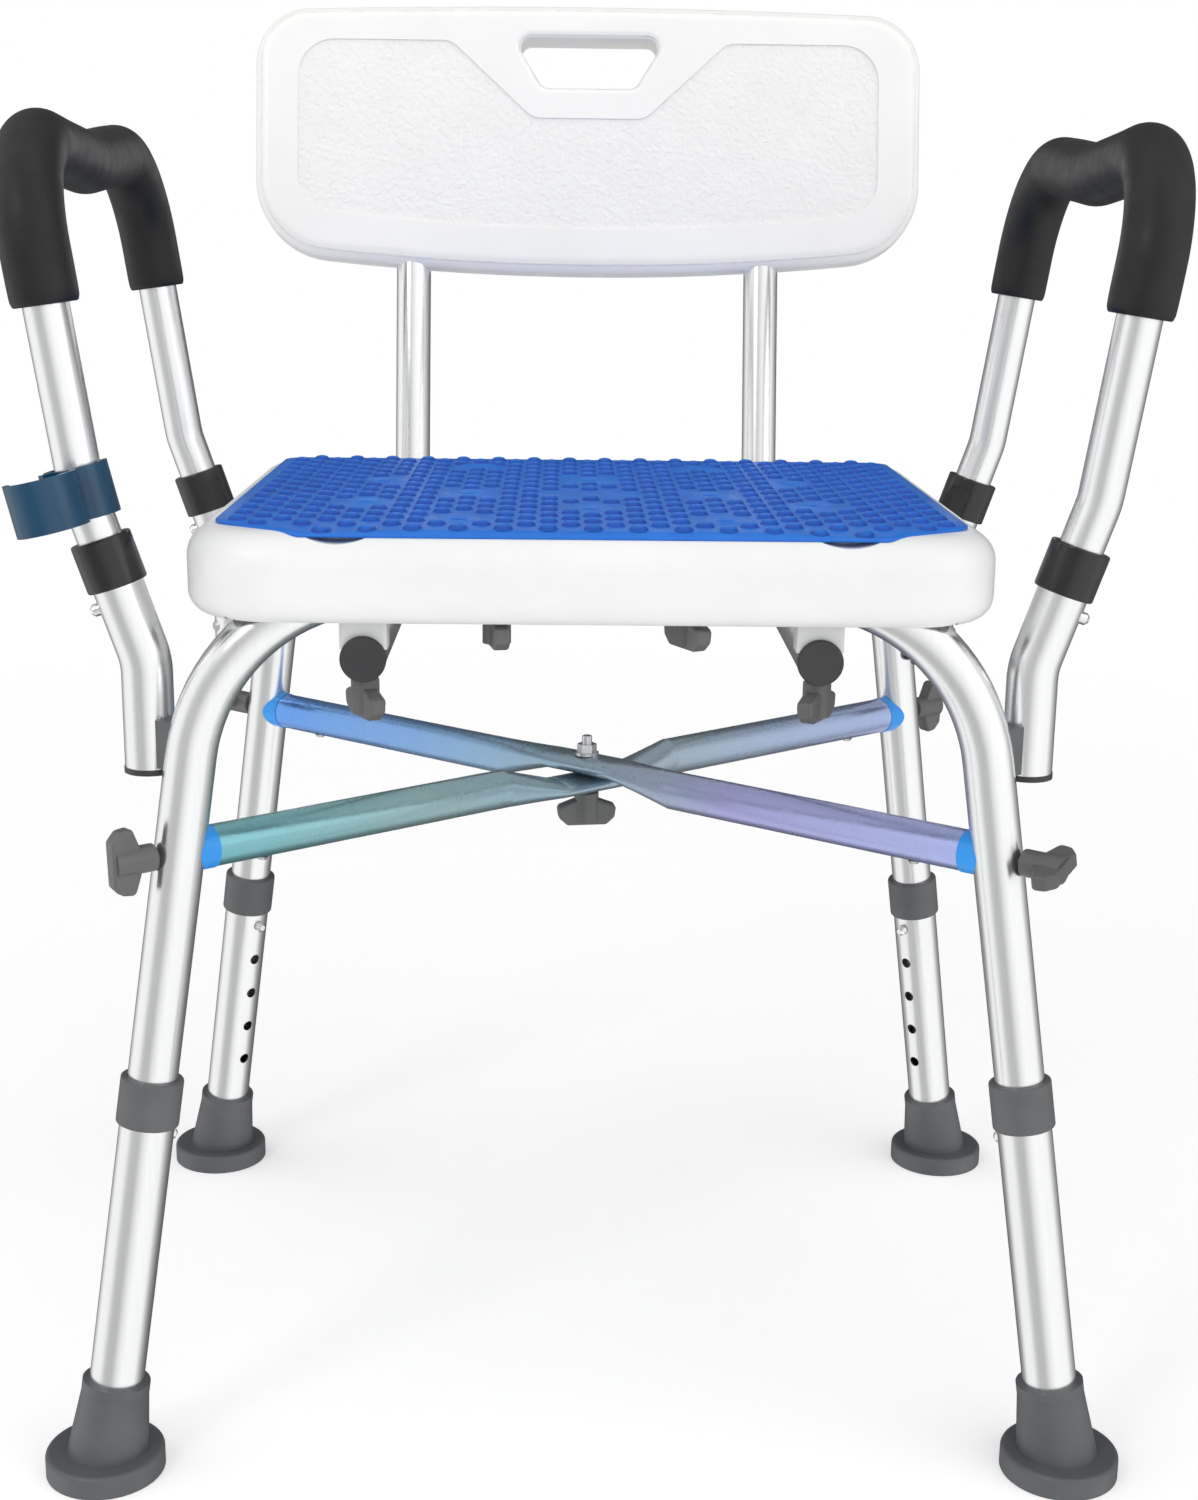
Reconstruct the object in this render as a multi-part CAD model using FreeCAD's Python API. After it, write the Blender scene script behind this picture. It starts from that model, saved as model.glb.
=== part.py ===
"""Shower chair with arms, back rest and crossed leg braces, in millimetres.

Every shape is first made about the middle between the four legs, with +Z up,
-Y at the front where the sitter's knees are, and +X on the right of someone
who faces the chair. It is then moved so that the origin is on the floor, at
the middle of the chair's whole width and depth. Each node is written to
parts/NODE.step.
"""
import FreeCAD, Part
import math
import os

Vec = FreeCAD.Vector
UP = Vec(0, 0, 1)

# ---- driving dimensions -------------------------------------------------
SIDES = {"left": -1, "right": 1}
ENDS = {"front": -1, "rear": 1}
CORNERS = {e + "_" + s: (SIDES[s], ENDS[e]) for e in ENDS for s in SIDES}

MIDDLE_Y = 26.74          # middle of the whole depth, behind the middle between the legs

FOOT_X = 255.4            # leg axis at the floor, from the middle between the legs
FOOT_Y = 194.0
SPLAY_X = 0.138           # how far a leg leans in for each millimetre of height
SPLAY_Y = 0.085
LEG_R = 13.0              # upper leg tube, outside
LEG_WALL = 1.3
FRAME_TOP_Z = 470.0       # axis of the tube under the seat
FRAME_BEND = 100.0
LEG_INNER_END_Z = 165.0   # lower end of the upper leg tube, inside the sleeve

SLEEVE_R = 14.3           # lower leg tube, outside
SLEEVE_BORE = 13.1
SLEEVE_BOTTOM_Z = 10.0
SLEEVE_TOP_Z = 212.0
HOLE_PITCH = 25.4
HOLE_COUNT = 5
HOLE_R = 3.5
COLLAR_R = 16.3
COLLAR_BOTTOM_Z = 191.0
COLLAR_TOP_Z = 216.0
BUTTON_R = 3.2
BUTTON_Z = 183.0
BUTTON_REACH = 19.0       # from the leg axis to the tip of the button
LEAF_WIDTH = 6.0
LEAF_THICK = 0.8

FOOT_R = 31.25
FOOT_FLANGE = 12.0
FOOT_CONE_BASE_R = 22.5
FOOT_CONE_TOP_R = 17.0
FOOT_HEIGHT = 50.0

SEAT_HALF_W = 205.0
SEAT_FRONT_Y = -182.0
SEAT_REAR_Y = 180.0
SEAT_BOTTOM_Z = 454.5
SEAT_TOP_Z = 499.5
SEAT_CORNER = 48.0
SEAT_LOW_EDGE = 12.0
SEAT_TOP_EDGE = 16.0
SEAT_WALL = 3.5
SEAT_CHANNEL_HALF = 15.0  # groove in the underside for the leg frame tube
SEAT_CHANNEL_END_X = 182.0
BOSS_R = 9.0
DIP_X = 126.0             # scooped places in the front edge
DIP_R = 39.0
DIP_DEPTH = 5.0
DIP_LENGTH = 22.0
BLOW_HOLE_R = 4.0

MAT_THICK = 3.0
MAT_HALF_W = 190.0
MAT_REAR_Y = 150.0
MAT_SIDE_FRONT_Y = -144.0
MAT_FRONT_Y = -170.0
MAT_FRONT_HALF = 148.0
MAT_CORNER = 14.0

BACK_TUBE_X = 114.5
BACK_TUBE_R = 11.2
BACK_TUBE_WALL = 1.2
BACK_TUBE_Z = 435.0
BACK_TUBE_FRONT_Y = -163.0
BACK_BEND = 40.0
RECLINE = 0.22            # how far the back leans for each millimetre of height
RECLINE_Y = 205.0         # back tube axis at RECLINE_Z
RECLINE_Z = 507.0
CAP_THICK = 3.0
SADDLE_HALF_X = 12.0
SADDLE_HALF_Y = 8.5

PANEL_HALF_W = 217.5
PANEL_HALF_H = 86.6
PANEL_Z = 698.8
PANEL_THICK = 30.0
PANEL_BOW = 14.4          # how much lower the middle of the bottom edge is
PANEL_CROWN = 4.5
PANEL_CORNER_LOW = 50.0
PANEL_CORNER_HIGH = 36.0
PANEL_EDGE = 9.0
PANEL_WALL = 3.2
PANEL_POCKET_TOP = 40.0
INLAY_DEPTH = 1.2
INLAY_HALF_W = 189.5
INLAY_TOP = 62.0
INLAY_BOTTOM = -47.0
INLAY_BOW = 12.4
NOTCH_TOP_HALF = 90.0
NOTCH_LOW_HALF = 36.5
NOTCH_LOW = 12.5
SLOT_TOP = 65.5
SLOT_LOW = 32.8
SLOT_TOP_HALF = 50.0
SLOT_LOW_HALF = 30.0
SLOT_CORNER = 7.0
SLOT_RIM = 4.5            # rounding of the slot's edges, front and back
SCREW_HEIGHTS = (-58.0, 20.0)
SCREW_R = 2.0
SCREW_HEAD_R = 4.2
SCREW_HEAD = 2.2

ARM_Y = 145.0
ARM_R = 11.5
ARM_WALL = 1.2
ARM_LEAN_LOW = 0.3346
ARM_LEAN_HIGH = 0.147
ARM_BOTTOM_Z = 441.0
ARM_KINK_Z = 515.0
ARM_KINK_X = 254.5
ARM_TOP_Z = 687.5         # where the runs of the arm rest's corners would meet
ARM_TOP_BEND = 52.0
ARM_DIP = 11.0            # how far the arm rest dips between its corners
ARM_DIP_BEND = 100.0
ARM_KINK_BEND = 45.0
GRIP_R = 17.0
GRIP_END_Z = 606.0

SOCKET_X = 226.0
SOCKET_R = 13.0
SOCKET_BORE = 11.6
SOCKET_BOTTOM_Z = 375.0
SOCKET_TOP_Z = 488.0
SOCKET_BEND = 40.0
ARM_COLLAR_R = 15.5
ARM_COLLAR_BOTTOM_Z = 468.0
ARM_COLLAR_TOP_Z = 492.0
ARM_BUTTON_Z = 460.0
ARM_BUTTON_REACH = 17.5
RIVET_R = 2.4
RIVET_HEAD_R = 4.2
RIVET_HEAD = 1.6
SOCKET_RIVET_Z = (381.0, 394.0)

BRACE_Z = 334.5
BRACE_R = 11.0
BRACE_WALL = 1.2
BRACE_PLUG_GAP = 18.0     # from the leg axis to the end of the brace tube
BRACE_PLUG_R = 11.4
FLAT_HALF_LENGTH = 24.0   # pressed flat where the braces cross
FLAT_END = 62.0
FLAT_HALF_W = 14.4
FLAT_HALF_H = 5.4
FLAT_LIFT = 5.6
PLUG_DEPTH = 40.0
PLUG_SCREW_S = 30.0       # from the end of the tube to the plug's screw

STUD_R = 3.0
STUD_HOLE = 3.3
THREAD_HOLE = 3.08
KNOB_STEM_R = 7.2
KNOB_HEIGHT = 20.0
SEAT_KNOB_HEIGHT = 16.5
BRACE_KNOB_HEIGHT = 24.0
KNOB_HALF_SPAN = 17.5
KNOB_THICK = 8.6
KNOB_WING = 11.5          # height of the wings
KNOB_GAP = 0.3
BRACE_KNOB_GAP = 1.6      # the leg leans, so its lower side reaches out further
BRACE_STUD_IN_PLUG = 22.0
SEAT_KNOB_X = 48.0
SEAT_STUD_TOP_Z = 493.0
CENTRE_STUD_TOP_Z = 357.0
NUT_HALF_FLAT = 5.0
NUT_HEIGHT = 5.0
WASHER_R = 7.0
WASHER_THICK = 1.5

CLIP_BAND = 3.0
CLIP_HEIGHT = 26.0
CLIP_GAP = 1.5
CLIP_MOUTH_HALF = 8.5     # half width of the gap that snaps over the arm
HOLDER_R = 18.0
HOLDER_MOUTH_HALF = 10.0
HOLDER_AIM = (-0.4, -1.0, 0.0)   # from the arm towards the holder
HOLDER_TURN = 0.35        # how far the holder's gap faces back to the arm


# ---- shape helpers ------------------------------------------------------
def cylinder(start, end, radius):
    """Round bar from one point to another."""
    along = end - start
    return Part.makeCylinder(radius, along.Length, start, along)


def cone(start, end, radius_start, radius_end):
    along = end - start
    return Part.makeCone(radius_start, radius_end, along.Length, start, along)


def box(low, high):
    size = high - low
    return Part.makeBox(size.x, size.y, size.z, low)


def disc(centre, normal, radius):
    circle = Part.Edge(Part.Circle(centre, normal, radius))
    return Part.Face(Part.Wire(circle))


def unit(vector):
    return vector * (1.0 / vector.Length)


def join(shapes):
    whole = shapes[0].fuse(shapes[1:]) if len(shapes) > 1 else shapes[0]
    return whole.removeSplitter()


def bent_bar(points, bends, radius):
    """Round bar along straight runs, with a round bend at each inner point."""
    pieces = []
    start = points[0]
    for number, bend in enumerate(bends, 1):
        into = unit(points[number] - points[number - 1])
        out = unit(points[number + 1] - points[number])
        turn = into.getAngle(out)
        setback = bend * math.tan(turn / 2)
        begin = points[number] - into * setback
        hinge = unit(into.cross(out))
        centre = begin + hinge.cross(into) * bend
        pieces.append(cylinder(start, begin, radius))
        elbow = disc(begin, into, radius).revolve(centre, hinge, math.degrees(turn))
        pieces.append(elbow)
        start = points[number] + out * setback
    pieces.append(cylinder(start, points[-1], radius))
    return join(pieces)


def bent_tube(points, bends, outside, inside):
    return bent_bar(points, bends, outside).cut(bent_bar(points, bends, inside))


def tube(start, end, outside, inside):
    return cylinder(start, end, outside).cut(cylinder(start, end, inside))


def prism(outline, direction):
    """Solid swept from a closed list of edges."""
    return Part.Face(Part.Wire(Part.__sortEdges__(outline))).extrude(direction)


def line(a, b):
    return Part.LineSegment(a, b).toShape()


def arc(a, middle, b):
    return Part.Arc(a, middle, b).toShape()


def polygon(points):
    return [line(a, b) for a, b in zip(points, points[1:] + points[:1])]


def along_edges(shape, direction):
    """Straight edges that run along one direction."""
    found = []
    for edge in shape.Edges:
        if isinstance(edge.Curve, (Part.Line, Part.LineSegment)):
            if abs(abs(edge.tangentAt(edge.FirstParameter).dot(direction)) - 1) < 1e-6:
                found.append(edge)
    return found


def plane_edges(shape, test):
    """Edges whose every end and middle point passes a test."""
    found = []
    for edge in shape.Edges:
        middle = edge.valueAt((edge.FirstParameter + edge.LastParameter) / 2)
        points = [v.Point for v in edge.Vertexes] + [middle]
        if all(test(p) for p in points):
            found.append(edge)
    return found


def group(shapes):
    return Part.makeCompound(shapes)


# ---- where things are ---------------------------------------------------
def leg_point(side, end, z):
    return Vec(side * (FOOT_X - SPLAY_X * z), end * (FOOT_Y - SPLAY_Y * z), z)


def leg_up(side, end):
    return unit(leg_point(side, end, 1) - leg_point(side, end, 0))


def inward(side, end):
    """From a leg's axis square across to the chair's middle."""
    up = leg_up(side, end)
    aim = Vec(-side, -end, 0)
    return unit(aim - up * aim.dot(up))


def frame_path(end):
    return [
        leg_point(-1, end, LEG_INNER_END_Z),
        leg_point(-1, end, FRAME_TOP_Z),
        leg_point(1, end, FRAME_TOP_Z),
        leg_point(1, end, LEG_INNER_END_Z),
    ]


def frame_bar(end, radius):
    return bent_bar(frame_path(end), [FRAME_BEND, FRAME_BEND], radius)


FRAME_Y = FOOT_Y - SPLAY_Y * FRAME_TOP_Z
BRACE_REACH = leg_point(1, 1, BRACE_Z)
BRACE_HALF = math.hypot(BRACE_REACH.x, BRACE_REACH.y)
CENTRE = Vec(0, 0, BRACE_Z)


def brace_out(side, end):
    return unit(Vec(side * BRACE_REACH.x, end * BRACE_REACH.y, 0))


def back_point(side, z):
    return Vec(side * BACK_TUBE_X, RECLINE_Y + RECLINE * (z - RECLINE_Z), z)


def socket_corner_z():
    """Height where the upright part of a socket meets its leaning part."""
    return ARM_KINK_Z - (ARM_KINK_X - SOCKET_X) / ARM_LEAN_LOW


def arm_low(side, end, z):
    return Vec(side * (ARM_KINK_X + ARM_LEAN_LOW * (z - ARM_KINK_Z)), end * ARM_Y, z)


def arm_high(side, end, z):
    return Vec(side * (ARM_KINK_X + ARM_LEAN_HIGH * (z - ARM_KINK_Z)), end * ARM_Y, z)


def arm_up(side):
    return unit(arm_low(side, 1, 1) - arm_low(side, 1, 0))


# ---- legs and feet ------------------------------------------------------
def button_hole(side, end, radius, reach):
    start = leg_point(side, end, BUTTON_Z)
    return cylinder(start, start + inward(side, end) * reach, radius)


def leg_frame(end):
    """One bent tube: two legs and the bar under the seat."""
    bar = frame_bar(end, LEG_R).cut(frame_bar(end, LEG_R - LEG_WALL))
    holes = []
    for side in SIDES.values():
        holes.append(button_hole(side, end, BUTTON_R + 0.1, LEG_R + 2))
        out = brace_out(side, end)
        axis = CENTRE + out * BRACE_HALF
        holes.append(cylinder(axis - out * 20, axis + out * 20, STUD_HOLE))
        holes.append(upright(side * BACK_TUBE_X, end * FRAME_Y, STUD_HOLE))
        if end < 0:
            holes.append(upright(side * SEAT_KNOB_X, end * FRAME_Y, STUD_HOLE))
        holes += [rivet_shank(side, end, z) for z in SOCKET_RIVET_Z]
    return bar.cut(holes)


def upright(x, y, radius):
    """Cutter for a bolt through the tubes under the seat."""
    return cylinder(Vec(x, y, BACK_TUBE_Z - 20), Vec(x, y, FRAME_TOP_Z + 16), radius)


def lower_leg_tube(side, end):
    """Sleeve with a row of height holes on its inward face."""
    bottom = leg_point(side, end, SLEEVE_BOTTOM_Z)
    sleeve = tube(bottom, leg_point(side, end, SLEEVE_TOP_Z), SLEEVE_R, SLEEVE_BORE)
    hole = button_hole(side, end, HOLE_R, SLEEVE_R + 2)
    step = leg_up(side, end) * -HOLE_PITCH
    return sleeve.cut([hole.translated(step * n) for n in range(HOLE_COUNT)])


def leg_collar(side, end):
    """Plastic collar over the top of the sleeve, with a rim that guides the leg."""
    low = leg_point(side, end, COLLAR_BOTTOM_Z)
    rim = leg_point(side, end, SLEEVE_TOP_Z)
    top = leg_point(side, end, COLLAR_TOP_Z)
    body = cylinder(low, top, COLLAR_R)
    rounded = body.makeFillet(1.2, [e for e in body.Edges if e.Closed])
    bore = cylinder(low, rim, SLEEVE_R)
    return rounded.cut([bore, cylinder(low, top, SLEEVE_BORE)])


def foot(side, end):
    """Rubber foot: a flat flange with a socket that leans with the leg."""
    ground = leg_point(side, end, 0)
    flange = cylinder(ground, ground + UP * FOOT_FLANGE, FOOT_R)
    flange = flange.makeFillet(2.5, [max(flange.Edges, key=lambda e: e.CenterOfMass.z)])
    low = leg_point(side, end, 0)
    top = leg_point(side, end, FOOT_HEIGHT)
    socket = cone(low, top, FOOT_CONE_BASE_R, FOOT_CONE_TOP_R)
    lip_start = leg_point(side, end, FOOT_HEIGHT - 5)
    lip = cylinder(lip_start, top, FOOT_CONE_TOP_R + 0.8)
    under = box(ground + Vec(-60, -60, -40), ground + Vec(60, 60, 0))
    whole = join([flange, socket, lip]).cut(under)
    mouth = leg_point(side, end, FOOT_HEIGHT + 10)
    return whole.cut(cylinder(leg_point(side, end, SLEEVE_BOTTOM_Z), mouth, SLEEVE_R))


# ---- snap buttons -------------------------------------------------------
def snap_button(centre, out, spring_way, reach, bore):
    """Domed button on one arm of a bent leaf spring, inside a tube."""
    across = unit(out.cross(spring_way))
    pad = bore - 1.6
    shank_end = centre + out * (reach - 1.6)
    shank = cylinder(centre + out * pad, shank_end, BUTTON_R)
    dome = cone(shank_end, centre + out * reach, BUTTON_R, BUTTON_R - 1.4)
    spine = [
        centre + out * reach_out + spring_way * down
        for reach_out, down in ((pad, -6.0), (pad, 9.0), (-1.0, 38.0), (1.2 - pad, 12.0))]
    half_width = across * (LEAF_WIDTH / 2)
    leaf = []
    for start, end in zip(spine, spine[1:]):
        square = unit((end - start).cross(across)) * (LEAF_THICK / 2)
        corners = [start + square, start - square, end - square, end + square]
        leaf.append(prism(polygon([c - half_width for c in corners]), half_width * 2))
        leaf.append(cylinder(end - half_width, end + half_width, LEAF_THICK / 2))
    return join([shank, dome] + leaf)


def leg_button(side, end):
    return snap_button(
        leg_point(side, end, BUTTON_Z), inward(side, end), leg_up(side, end),
        BUTTON_REACH, LEG_R - LEG_WALL)


def arm_button(side, end):
    out = outward(side)
    return snap_button(
        arm_low(side, end, ARM_BUTTON_Z), out, arm_up(side),
        ARM_BUTTON_REACH, ARM_R - ARM_WALL)


def outward(side):
    """Square to an arm socket's leaning part, away from the seat."""
    up = arm_up(side)
    aim = Vec(side, 0, 0)
    return unit(aim - up * aim.dot(up))


# ---- seat and mat -------------------------------------------------------
def seat_block(inset):
    """Rounded block with large corner radii, shrunk all round by inset."""
    half = SEAT_HALF_W - inset
    low_z = SEAT_BOTTOM_Z + inset
    high_z = SEAT_TOP_Z - inset
    block = box(Vec(-half, SEAT_FRONT_Y + inset, low_z), Vec(half, SEAT_REAR_Y - inset, high_z))
    block = block.makeFillet(SEAT_CORNER - inset, along_edges(block, UP))
    for z, edge in ((low_z, SEAT_LOW_EDGE), (high_z, SEAT_TOP_EDGE)):
        rim = plane_edges(block, lambda p: abs(p.z - z) < 1e-6)
        block = block.makeFillet(edge - inset, rim)
    return block


def channel(end, grow):
    middle = end * (FRAME_Y + 0.6)
    half = SEAT_CHANNEL_HALF + grow
    far = SEAT_CHANNEL_END_X + grow
    low = Vec(-far, middle - half, SEAT_BOTTOM_Z - 10)
    return box(low, Vec(far, middle + half, FRAME_TOP_Z + LEG_R + grow))


def seat_bolt_places():
    places = [(side * BACK_TUBE_X, end * FRAME_Y) for side in (-1, 1) for end in (-1, 1)]
    return places + [(side * SEAT_KNOB_X, -FRAME_Y) for side in (-1, 1)]


def seat():
    """Blow-moulded seat, hollow, with grooves underneath for the leg frames."""
    shell = seat_block(0)
    hollow = seat_block(SEAT_WALL)
    keep = [channel(end, SEAT_WALL) for end in ENDS.values()]
    keep += [
        cylinder(Vec(x, y, SEAT_BOTTOM_Z), Vec(x, y, SEAT_TOP_Z), BOSS_R)
        for x, y in seat_bolt_places()]
    dips = []
    for side in SIDES.values():
        start = Vec(side * DIP_X, SEAT_FRONT_Y - 5, SEAT_TOP_Z + DIP_R - DIP_DEPTH)
        dips.append(cylinder(start, start + Vec(0, DIP_LENGTH + 5, 0), DIP_R))
        keep.append(cylinder(
            start, start + Vec(0, DIP_LENGTH + 5 + SEAT_WALL, 0), DIP_R + SEAT_WALL))
    hollow = hollow.cut(keep)
    holes = [channel(end, 0) for end in ENDS.values()]
    holes += [
        cylinder(Vec(x, y, SEAT_BOTTOM_Z), Vec(x, y, SEAT_STUD_TOP_Z + 1), THREAD_HOLE)
        for x, y in seat_bolt_places()]
    holes.append(cylinder(
        Vec(0, 0, SEAT_BOTTOM_Z - 1), Vec(0, 0, SEAT_BOTTOM_Z + SEAT_WALL + 1), BLOW_HOLE_R))
    return shell.cut([hollow] + holes + dips)


def seat_mat():
    """Flat mat with clipped front corners."""
    z = SEAT_TOP_Z
    half = MAT_HALF_W
    points = [
        Vec(-half, MAT_REAR_Y, z), Vec(half, MAT_REAR_Y, z),
        Vec(half, MAT_SIDE_FRONT_Y, z), Vec(MAT_FRONT_HALF, MAT_FRONT_Y, z),
        Vec(-MAT_FRONT_HALF, MAT_FRONT_Y, z), Vec(-half, MAT_SIDE_FRONT_Y, z)]
    mat = prism(polygon(points), UP * MAT_THICK)
    return mat.makeFillet(MAT_CORNER, along_edges(mat, UP))


# ---- back rest ----------------------------------------------------------
def back_tube_bar(side, radius):
    front = Vec(side * BACK_TUBE_X, BACK_TUBE_FRONT_Y, BACK_TUBE_Z)
    top = panel_point(side * BACK_TUBE_X, 0, PANEL_POCKET_TOP - 1)
    return bent_bar([front, back_point(side, BACK_TUBE_Z), top], [BACK_BEND], radius)


def back_tube(side):
    """Bent tube that runs under the seat and up behind it."""
    bar = back_tube_bar(side, BACK_TUBE_R)
    holes = [back_tube_bar(side, BACK_TUBE_R - BACK_TUBE_WALL)]
    holes += [upright(side * BACK_TUBE_X, end * FRAME_Y, STUD_HOLE) for end in ENDS.values()]
    holes += [screw_shank(side, height) for height in SCREW_HEIGHTS]
    return bar.cut(holes)


def back_tube_cap(side):
    """Round plastic plug with a flat face, in the front end of a back tube."""
    start = Vec(side * BACK_TUBE_X, BACK_TUBE_FRONT_Y, BACK_TUBE_Z)
    face = cylinder(start, start - Vec(0, CAP_THICK, 0), BACK_TUBE_R + 0.5)
    rim = [e for e in face.Edges if e.Closed and e.CenterOfMass.y < start.y - 1]
    face = face.makeFillet(1.0, rim)
    plug = cylinder(start, start + Vec(0, 5, 0), BACK_TUBE_R - BACK_TUBE_WALL)
    return join([face, plug])


def panel_place():
    lean = math.degrees(math.atan(RECLINE))
    middle = Vec(0, RECLINE_Y + RECLINE * (PANEL_Z - RECLINE_Z), PANEL_Z)
    return FreeCAD.Placement(middle, FreeCAD.Rotation(Vec(1, 0, 0), -lean))


def panel_point(x, y, z):
    """From the back rest's own frame, y through it and z up it, to the chair's."""
    return panel_place().multVec(Vec(x, y, z))


def in_place(shape):
    moved = shape.copy()
    moved.Placement = panel_place().multiply(moved.Placement)
    return moved


def panel_block(inset, front, back, edge):
    half = PANEL_HALF_W - inset
    top = PANEL_HALF_H - inset
    low = -PANEL_HALF_H + PANEL_BOW + inset
    outline = [
        arc(Vec(-half, front, low), Vec(0, front, low - PANEL_BOW), Vec(half, front, low)),
        line(Vec(half, front, low), Vec(half, front, top - PANEL_CROWN)),
        arc(Vec(half, front, top - PANEL_CROWN), Vec(0, front, top),
            Vec(-half, front, top - PANEL_CROWN)),
        line(Vec(-half, front, top - PANEL_CROWN), Vec(-half, front, low))]
    block = prism(outline, Vec(0, back - front, 0))
    through = along_edges(block, Vec(0, 1, 0))
    lower = [e for e in through if e.CenterOfMass.z < 0]
    block = block.makeFillet(PANEL_CORNER_LOW - inset, lower)
    upper = [e for e in along_edges(block, Vec(0, 1, 0)) if e.CenterOfMass.z > 40]
    upper = [e for e in upper if abs(abs(e.CenterOfMass.x) - half) < 1e-3]
    block = block.makeFillet(PANEL_CORNER_HIGH - inset, upper)
    rims = plane_edges(block, lambda p: abs(p.y - front) < 1e-6)
    rims += plane_edges(block, lambda p: abs(p.y - back) < 1e-6)
    return block.makeFillet(edge, rims)


def hand_slot(grow):
    y = -PANEL_THICK
    points = [
        Vec(-SLOT_TOP_HALF - grow, y, SLOT_TOP + grow),
        Vec(SLOT_TOP_HALF + grow, y, SLOT_TOP + grow),
        Vec(SLOT_LOW_HALF + grow * 0.6, y, SLOT_LOW - grow),
        Vec(-SLOT_LOW_HALF - grow * 0.6, y, SLOT_LOW - grow)]
    cutter = prism(polygon(points), Vec(0, 2 * PANEL_THICK, 0))
    return cutter.makeFillet(SLOT_CORNER + grow, along_edges(cutter, Vec(0, 1, 0)))


def on_slot_rim(point):
    """Whether a point in the back rest's own frame is on the slot's front or back edge."""
    on_face = abs(abs(point.y) - PANEL_THICK / 2) < 1e-6
    in_height = SLOT_LOW - 1 < point.z < SLOT_TOP + 1
    return on_face and in_height and abs(point.x) < SLOT_TOP_HALF + 1


def inlay():
    """Cutter for the shallow textured field on the front of the back rest."""
    y = -PANEL_THICK / 2 - 5
    corners = [
        Vec(-INLAY_HALF_W, y, INLAY_BOTTOM), Vec(-INLAY_HALF_W, y, INLAY_TOP),
        Vec(-NOTCH_TOP_HALF, y, INLAY_TOP), Vec(-NOTCH_LOW_HALF, y, NOTCH_LOW),
        Vec(NOTCH_LOW_HALF, y, NOTCH_LOW), Vec(NOTCH_TOP_HALF, y, INLAY_TOP),
        Vec(INLAY_HALF_W, y, INLAY_TOP), Vec(INLAY_HALF_W, y, INLAY_BOTTOM)]
    outline = [line(a, b) for a, b in zip(corners, corners[1:])]
    outline.append(arc(corners[-1], Vec(0, y, INLAY_BOTTOM - INLAY_BOW), corners[0]))
    cutter = prism(outline, Vec(0, 5 + INLAY_DEPTH, 0))
    outer = [e for e in along_edges(cutter, Vec(0, 1, 0)) if abs(e.CenterOfMass.x) > 150]
    cutter = cutter.makeFillet(24.0, outer)
    inner = [e for e in along_edges(cutter, Vec(0, 1, 0)) if abs(e.CenterOfMass.x) < 91]
    return cutter.makeFillet(14.0, inner)


def back_panel():
    """Blow-moulded back rest, hollow, with a hand slot and two blind tube pockets."""
    half = PANEL_THICK / 2
    outside = panel_block(0, -half, half, PANEL_EDGE).cut(hand_slot(0))
    outside = outside.makeFillet(SLOT_RIM, plane_edges(outside, on_slot_rim))
    hollow = panel_block(
        PANEL_WALL, -half + PANEL_WALL + INLAY_DEPTH, half - PANEL_WALL, PANEL_EDGE - PANEL_WALL)
    keep = [hand_slot(PANEL_WALL)]
    pockets = []
    for side in SIDES.values():
        x = side * BACK_TUBE_X
        low = Vec(x, 0, -PANEL_HALF_H - 5)
        pockets.append(cylinder(low, Vec(x, 0, PANEL_POCKET_TOP), BACK_TUBE_R))
        keep.append(cylinder(low, Vec(x, 0, PANEL_POCKET_TOP + PANEL_WALL), BACK_TUBE_R + 3))
    blow = cylinder(Vec(0, half - PANEL_WALL - 1, -50), Vec(0, half + 1, -50), BLOW_HOLE_R)
    shell = outside.cut([hollow.cut(keep), inlay(), blow] + pockets)
    shanks = [screw_shank(side, z) for side in SIDES.values() for z in SCREW_HEIGHTS]
    return in_place(shell).cut(shanks)


def screw_shank(side, height):
    x = side * BACK_TUBE_X
    start = panel_point(x, BACK_TUBE_R - 4, height)
    return cylinder(start, panel_point(x, PANEL_THICK / 2 + 1, height), SCREW_R)


def back_panel_screw(side, height):
    """Screw through the back of the back rest into a back tube."""
    x = side * BACK_TUBE_X
    face = panel_point(x, PANEL_THICK / 2, height)
    start = panel_point(x, BACK_TUBE_R - 4, height)
    out = unit(face - start)
    shank = cylinder(start, face, SCREW_R)
    head = cylinder(face, face + out * SCREW_HEAD, SCREW_HEAD_R)
    crown = [e for e in head.Edges if e.Closed and (e.CenterOfMass - face).Length > 1]
    head = head.makeFillet(0.9, crown)
    depth = box(Vec(-0.6, -2.6, -1.2), Vec(0.6, 2.6, 1))
    slots = [depth, depth.rotated(Vec(0, 0, 0), UP, 90)]
    turn = FreeCAD.Rotation(UP, out)
    cross = [s.transformed(FreeCAD.Placement(face + out * SCREW_HEAD, turn).toMatrix())
             for s in slots]
    return join([head, shank]).cut(cross)


def tube_saddle(side, end):
    """Block that holds a back tube square under a leg frame."""
    x = side * BACK_TUBE_X
    y = end * FRAME_Y
    half = Vec(SADDLE_HALF_X, SADDLE_HALF_Y, 0)
    block = box(Vec(x, y, BACK_TUBE_Z + 4.5) - half, Vec(x, y, FRAME_TOP_Z - 10) + half)
    block = block.makeFillet(2.0, along_edges(block, UP))
    around = [frame_bar(end, LEG_R), back_tube_bar(side, BACK_TUBE_R)]
    return block.cut(around + [upright(x, y, STUD_HOLE)])


# ---- arms ---------------------------------------------------------------
def arm_rest(side):
    """Corners of the arm rest and the low point between them."""
    low = arm_high(side, 0, ARM_TOP_Z - ARM_DIP)
    return [arm_high(side, -1, ARM_TOP_Z), low, arm_high(side, 1, ARM_TOP_Z)]


ARM_REST_BENDS = [ARM_TOP_BEND, ARM_DIP_BEND, ARM_TOP_BEND]


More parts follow.
